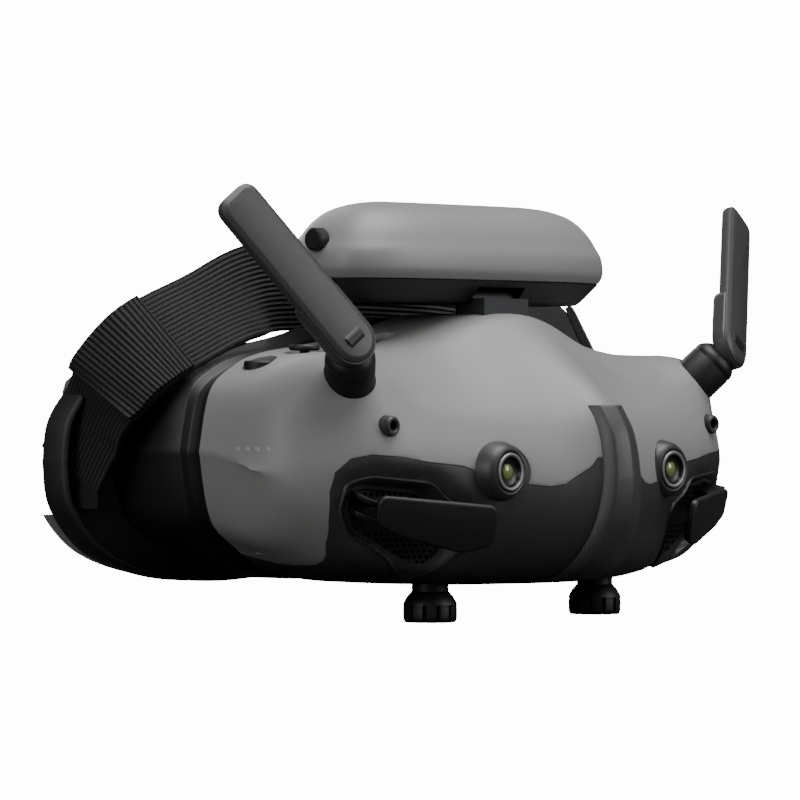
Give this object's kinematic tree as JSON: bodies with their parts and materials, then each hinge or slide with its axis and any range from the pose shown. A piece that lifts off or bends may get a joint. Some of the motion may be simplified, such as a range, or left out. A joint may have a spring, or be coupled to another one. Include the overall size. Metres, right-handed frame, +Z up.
{
  "type": "fpv goggles",
  "caption": "Video goggles for drone flying, with folding antennas, twin front cameras, a forehead battery pod and an elastic headband.",
  "frame": {"origin": "on the plane of the adjusting knobs' end faces, on the mid plane, 11 mm behind the joint between the grey shell and the rear shell", "axes": "+X across the face, -Y towards the front of the goggles, +Z up"},
  "size_m": [0.2114, 0.1187, 0.1111],
  "materials": {
    "grey_shell": "satin, finely textured",
    "dark_plastic": "satin, finely textured",
    "black_plastic": "matte",
    "camera_ring": "satin",
    "glass": "gloss",
    "steel": "satin",
    "aluminium": "satin",
    "circuit_board": "satin",
    "display": "gloss",
    "seal_foam": "soft matte",
    "cushion_fabric": "soft matte",
    "webbing": "matte, ribbed",
    "cell_wrap": "gloss",
    "light_pipe": "satin",
    "bracket_metal": "satin"
  },
  "bodies": {
    "housing": {"top_shell": "grey_shell", "front_panel": "dark_plastic", "rear_shell": "black_plastic", "lens_plate": "black_plastic", "bridge_strip": "dark_plastic", "face_frame": "black_plastic", "face_seal": "seal_foam", "camera_left": "camera_ring", "camera_right": "camera_ring", "camera_lens_left": "glass", "camera_lens_right": "glass", "front_posts": "dark_plastic", "vent_cover_left": "black_plastic", "vent_cover_right": "black_plastic", "vent_mesh_left": "black_plastic", "vent_mesh_right": "black_plastic", "fan_frame_left": "black_plastic", "fan_frame_right": "black_plastic", "top_grille_left": "black_plastic", "top_grille_right": "black_plastic", "antenna_socket_left": "dark_plastic", "antenna_socket_right": "dark_plastic", "antenna_pin_left": "steel", "antenna_pin_right": "steel", "battery_lights": "light_pipe", "joystick_base": "black_plastic", "usb_port": "steel", "card_slot": "steel", "main_board": "circuit_board", "chip_shield": "steel", "heat_sink": "aluminium", "rod_mounts": "dark_plastic", "guide_rods": "steel", "hinge_bracket": "bracket_metal", "head_strap": "webbing", "strap_tails": "webbing", "lens_screws": "steel"},
    "antenna_left": {"antenna_blade_left": "dark_plastic"},
    "antenna_right": {"antenna_blade_right": "dark_plastic"},
    "pod": {"pod_shell": "grey_shell", "pod_base": "black_plastic", "forehead_cushion": "cushion_fabric", "battery_cells": "cell_wrap", "hinge_pin": "steel"},
    "power_key": {"power_button": "black_plastic"},
    "eye_left": {"carriage_left": "dark_plastic", "display_left": "display", "barrel_left": "black_plastic"},
    "eye_right": {"carriage_right": "dark_plastic", "display_right": "display", "barrel_right": "black_plastic"},
    "dial_left": {"knob_left": "black_plastic"},
    "dial_right": {"knob_right": "black_plastic"},
    "lens_left": {"eyepiece_left": "glass"},
    "lens_right": {"eyepiece_right": "glass"},
    "rotor_left": {"fan_rotor_left": "black_plastic"},
    "rotor_right": {"fan_rotor_right": "black_plastic"},
    "stick_ring": {"joystick_ring": "steel"},
    "stick": {"joystick": "black_plastic"},
    "back_key": {"back_button": "black_plastic"}
  },
  "joints": [
    {"name": "antenna_left_fold", "type": "hinge", "parent": "housing", "child": "antenna_left", "pos_m": [-0.0765, -0.0524, 0.0721], "axis": [-0.7995, 0.0885, -0.5941], "range_deg": [0, 50]},
    {"name": "antenna_right_fold", "type": "hinge", "parent": "housing", "child": "antenna_right", "pos_m": [0.0765, -0.0524, 0.0721], "axis": [-0.7995, -0.0885, 0.5941], "range_deg": [0, 50]},
    {"name": "pod_tilt", "type": "hinge", "parent": "housing", "child": "pod", "pos_m": [0, -0.03, 0.0836], "axis": [1, 0, 0], "range_deg": [-2, 15]},
    {"name": "power_press", "type": "slide", "parent": "pod", "child": "power_key", "axis": [1, 0, 0], "range_m": [0, 0.001], "stiffness_N_per_m": 300},
    {"name": "eye_left_slide", "type": "slide", "parent": "housing", "child": "eye_left", "axis": [1, 0, 0], "range_m": [-0.004, 0.004]},
    {"name": "dial_left_turn", "type": "hinge", "parent": "eye_left", "child": "dial_left", "pos_m": [-0.033, -0.0401, 0], "axis": [0, 0, 1], "range_deg": [-150, 150]},
    {"name": "lens_left_focus", "type": "slide", "parent": "eye_left", "child": "lens_left", "axis": [0, 1, 0], "range_m": [-0.003, 0.003]},
    {"name": "fan_left_spin", "type": "hinge", "parent": "housing", "child": "rotor_left", "pos_m": [-0.056, -0.036, 0.031], "axis": [0, 1, 0], "continuous": true},
    {"name": "eye_right_slide", "type": "slide", "parent": "housing", "child": "eye_right", "axis": [1, 0, 0], "range_m": [-0.004, 0.004]},
    {"name": "dial_right_turn", "type": "hinge", "parent": "eye_right", "child": "dial_right", "pos_m": [0.033, -0.0401, 0], "axis": [0, 0, 1], "range_deg": [-150, 150]},
    {"name": "lens_right_focus", "type": "slide", "parent": "eye_right", "child": "lens_right", "axis": [0, 1, 0], "range_m": [-0.003, 0.003]},
    {"name": "fan_right_spin", "type": "hinge", "parent": "housing", "child": "rotor_right", "pos_m": [0.056, -0.036, 0.031], "axis": [0, 1, 0], "continuous": true},
    {"name": "stick_side_tilt", "type": "hinge", "parent": "housing", "child": "stick_ring", "pos_m": [-0.063, -0.024, 0.0645], "axis": [1, 0, 0], "range_deg": [-8, 8], "stiffness_Nm_per_rad": 0.02},
    {"name": "stick_front_tilt", "type": "hinge", "parent": "stick_ring", "child": "stick", "pos_m": [-0.063, -0.024, 0.0645], "axis": [0, 1, 0], "range_deg": [-8, 8], "stiffness_Nm_per_rad": 0.02},
    {"name": "back_press", "type": "slide", "parent": "housing", "child": "back_key", "axis": [0, 0, -1], "range_m": [0, 0.0008], "stiffness_N_per_m": 300}
  ],
  "couplings": [
    {"joint": "dial_left_turn", "follows": "lens_left_focus", "rad_per_m": 872.6},
    {"joint": "dial_right_turn", "follows": "lens_right_focus", "rad_per_m": 872.6}
  ]
}
